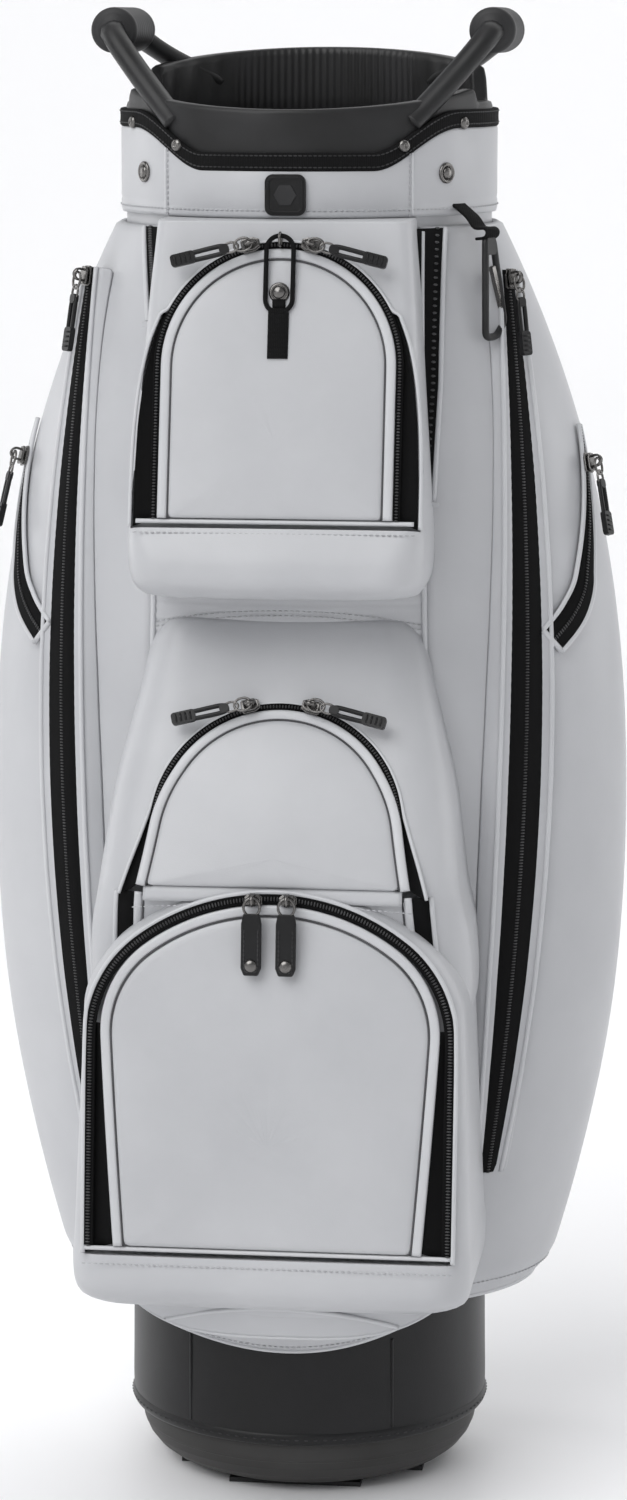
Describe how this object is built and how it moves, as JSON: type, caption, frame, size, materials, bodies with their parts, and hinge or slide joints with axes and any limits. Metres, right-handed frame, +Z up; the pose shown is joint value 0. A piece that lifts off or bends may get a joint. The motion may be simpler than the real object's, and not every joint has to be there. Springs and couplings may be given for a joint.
{
  "type": "golf staff bag",
  "caption": "Upright golf cart bag with moulded base and collar, two grip handles, club dividers, bulging side pockets and arched front pockets with zips.",
  "frame": {"origin": "middle of the base, on the ground", "axes": "+Z up along the bag, -Y to the front with the arched pockets, +X to the right seen from the front as the viewer faces it"},
  "size_m": [0.408, 0.37, 0.9385],
  "materials": {
    "leather": "smooth pale grey synthetic leather, fine pebble grain",
    "black_leather": "black synthetic leather",
    "black_plastic": "fine-textured black moulded plastic",
    "grip_rubber": "soft-touch rubber",
    "black_fabric": "black woven webbing and zip tape",
    "lining": "black brushed lining",
    "gunmetal": "dark polished plating",
    "rod": "drawn tube, plain",
    "pull_rubber": "moulded rubber zip pull"
  },
  "bodies": {
    "bag": {"base_cup": "black_plastic", "base_feet": "pull_rubber", "base_welt": "black_fabric", "base_sleeve": "black_leather", "core_tube": "lining", "stay_rods": "rod", "divider_panels": "lining", "divider_bars": "lining", "collar": "black_plastic", "handle_left": "black_plastic", "handle_right": "black_plastic", "grip_left": "grip_rubber", "grip_right": "grip_rubber", "cuff": "leather", "cuff_binding": "black_fabric", "collar_screws": "gunmetal", "cuff_studs": "gunmetal", "badge": "pull_rubber", "body_skin": "leather", "back_panel": "leather", "shoulder_strap": "black_fabric", "strap_anchors": "black_fabric", "side_pocket_left": "leather", "side_pocket_right": "leather", "side_zips_left": "black_fabric", "side_zips_right": "black_fabric", "upper_pocket": "leather", "upper_zip": "black_fabric", "middle_pocket": "leather", "middle_zip": "black_fabric", "lower_pocket": "leather", "lower_zip": "black_fabric", "hook_strap": "black_fabric"},
    "upper_flap": {"upper_panel": "leather", "elastic_loop": "black_fabric", "loop_tab": "black_fabric"},
    "middle_flap": {"middle_panel": "leather"},
    "lower_flap": {"lower_panel": "leather"},
    "hook": {"snap_hook": "black_plastic"},
    "gate": {"hook_gate": "gunmetal"},
    "upper_slider_left": {"upper_slider_left": "gunmetal"},
    "upper_pull_left": {"upper_pull_left": "pull_rubber"},
    "upper_slider_right": {"upper_slider_right": "gunmetal"},
    "upper_pull_right": {"upper_pull_right": "pull_rubber"},
    "middle_slider_left": {"middle_slider_left": "gunmetal"},
    "middle_pull_left": {"middle_pull_left": "pull_rubber"},
    "middle_slider_right": {"middle_slider_right": "gunmetal"},
    "middle_pull_right": {"middle_pull_right": "pull_rubber"},
    "lower_slider_left": {"lower_slider_left": "gunmetal"},
    "lower_pull_left": {"lower_pull_left": "black_leather"},
    "lower_slider_right": {"lower_slider_right": "gunmetal"},
    "lower_pull_right": {"lower_pull_right": "black_leather"},
    "side_slider_left": {"side_slider_left": "gunmetal"},
    "side_pull_left": {"side_pull_left": "pull_rubber"},
    "side_slider_right": {"side_slider_right": "gunmetal"},
    "side_pull_right": {"side_pull_right": "pull_rubber"},
    "outer_slider_left": {"outer_slider_left": "gunmetal"},
    "outer_pull_left": {"outer_pull_left": "pull_rubber"},
    "outer_slider_right": {"outer_slider_right": "gunmetal"},
    "outer_pull_right": {"outer_pull_right": "pull_rubber"}
  },
  "joints": [
    {"name": "upper_panel_hinge", "type": "hinge", "parent": "bag", "child": "upper_flap", "pos_m": [0, -0.17343, 0.63536], "axis": [1, 0, 0], "range_deg": [0, 40]},
    {"name": "upper_slider_left_run", "type": "hinge", "parent": "upper_flap", "child": "upper_slider_left", "pos_m": [0, -0.15585, 0.72568], "axis": [0, -0.9774, 0.2113], "range_deg": [0, 74]},
    {"name": "upper_pull_left_swing", "type": "hinge", "parent": "upper_slider_left", "child": "upper_pull_left", "pos_m": [-0.01816, -0.14808, 0.79851], "axis": [-0.2419, 0.205, 0.9484], "range_deg": [0, 90]},
    {"name": "upper_slider_right_run", "type": "hinge", "parent": "upper_flap", "child": "upper_slider_right", "pos_m": [0, -0.15585, 0.72568], "axis": [0, 0.9774, -0.2113], "range_deg": [0, 74]},
    {"name": "upper_pull_right_swing", "type": "hinge", "parent": "upper_slider_right", "child": "upper_pull_right", "pos_m": [0.01816, -0.14808, 0.79851], "axis": [-0.2419, -0.205, -0.9484], "range_deg": [0, 90]},
    {"name": "middle_panel_hinge", "type": "hinge", "parent": "bag", "child": "middle_flap", "pos_m": [0, -0.18516, 0.41258], "axis": [1, 0, 0], "range_deg": [0, 40]},
    {"name": "middle_slider_left_run", "type": "hinge", "parent": "middle_flap", "child": "middle_slider_left", "pos_m": [0, -0.172, 0.44828], "axis": [0, -0.9198, 0.3923], "range_deg": [0, 74]},
    {"name": "middle_pull_left_swing", "type": "hinge", "parent": "middle_slider_left", "child": "middle_pull_left", "pos_m": [-0.01864, -0.14985, 0.52011], "axis": [-0.2419, 0.3807, 0.8925], "range_deg": [0, 90]},
    {"name": "middle_slider_right_run", "type": "hinge", "parent": "middle_flap", "child": "middle_slider_right", "pos_m": [0, -0.172, 0.44828], "axis": [0, 0.9198, -0.3923], "range_deg": [0, 74]},
    {"name": "middle_pull_right_swing", "type": "hinge", "parent": "middle_slider_right", "child": "middle_pull_right", "pos_m": [0.01864, -0.14985, 0.52011], "axis": [-0.2419, -0.3807, -0.8925], "range_deg": [0, 90]},
    {"name": "lower_panel_hinge", "type": "hinge", "parent": "bag", "child": "lower_flap", "pos_m": [0, -0.21445, 0.19421], "axis": [1, 0, 0], "range_deg": [0, 40]},
    {"name": "lower_slider_left_run", "type": "hinge", "parent": "lower_flap", "child": "lower_slider_left", "pos_m": [0, -0.20701, 0.27388], "axis": [0, -0.9932, 0.1167], "range_deg": [0, 31]},
    {"name": "lower_pull_left_swing", "type": "hinge", "parent": "lower_slider_left", "child": "lower_pull_left", "pos_m": [-0.01052, -0.19916, 0.40752], "axis": [-1, 0, 0], "range_deg": [0, 100]},
    {"name": "lower_slider_right_run", "type": "hinge", "parent": "lower_flap", "child": "lower_slider_right", "pos_m": [0, -0.20701, 0.27388], "axis": [0, 0.9932, -0.1167], "range_deg": [0, 31]},
    {"name": "lower_pull_right_swing", "type": "hinge", "parent": "lower_slider_right", "child": "lower_pull_right", "pos_m": [0.01052, -0.19916, 0.40752], "axis": [-1, 0, 0], "range_deg": [0, 100]},
    {"name": "side_slider_left_run", "type": "hinge", "parent": "bag", "child": "side_slider_left", "pos_m": [1.13427, 0.94774, 0.459], "axis": [0.6287, -0.7763, 0.0454], "range_deg": [0, 18]},
    {"name": "side_pull_left_swing", "type": "hinge", "parent": "side_slider_left", "child": "side_pull_left", "pos_m": [-0.13736, -0.06449, 0.77463], "axis": [-0.668, 0.7433, -0.0353], "range_deg": [0, 90]},
    {"name": "side_slider_right_run", "type": "hinge", "parent": "bag", "child": "side_slider_right", "pos_m": [-1.13427, 0.94774, 0.459], "axis": [0.6287, 0.7763, -0.0454], "range_deg": [0, 18]},
    {"name": "side_pull_right_swing", "type": "hinge", "parent": "side_slider_right", "child": "side_pull_right", "pos_m": [0.13736, -0.06449, 0.77463], "axis": [-0.668, -0.7433, 0.0353], "range_deg": [0, 90]},
    {"name": "outer_slider_left_run", "type": "hinge", "parent": "bag", "child": "outer_slider_left", "pos_m": [0.1319, -0.041, 0.604], "axis": [0, -0.9472, 0.3206], "range_deg": [0, 19.6]},
    {"name": "outer_pull_left_swing", "type": "hinge", "parent": "outer_slider_left", "child": "outer_pull_left", "pos_m": [-0.18513, -0.02947, 0.65911], "axis": [-0.4849, 0.8518, -0.1981], "range_deg": [0, 90]},
    {"name": "outer_slider_right_run", "type": "hinge", "parent": "bag", "child": "outer_slider_right", "pos_m": [-0.1319, -0.041, 0.604], "axis": [0, 0.9472, -0.3206], "range_deg": [0, 19.6]},
    {"name": "outer_pull_right_swing", "type": "hinge", "parent": "outer_slider_right", "child": "outer_pull_right", "pos_m": [0.18513, -0.02947, 0.65911], "axis": [-0.4849, -0.8518, 0.1981], "range_deg": [0, 90]},
    {"name": "hook_swing", "type": "hinge", "parent": "bag", "child": "hook", "pos_m": [0.1196, -0.0747, 0.802], "axis": [-0.5299, -0.848, 0], "range_deg": [0, 70]},
    {"name": "gate_turn", "type": "hinge", "parent": "hook", "child": "gate", "pos_m": [0.12724, -0.06853, 0.75611], "axis": [0.846, -0.5286, 0.0698], "range_deg": [0, 6], "stiffness_Nm_per_rad": 0.02, "springref_deg": -5.73}
  ]
}
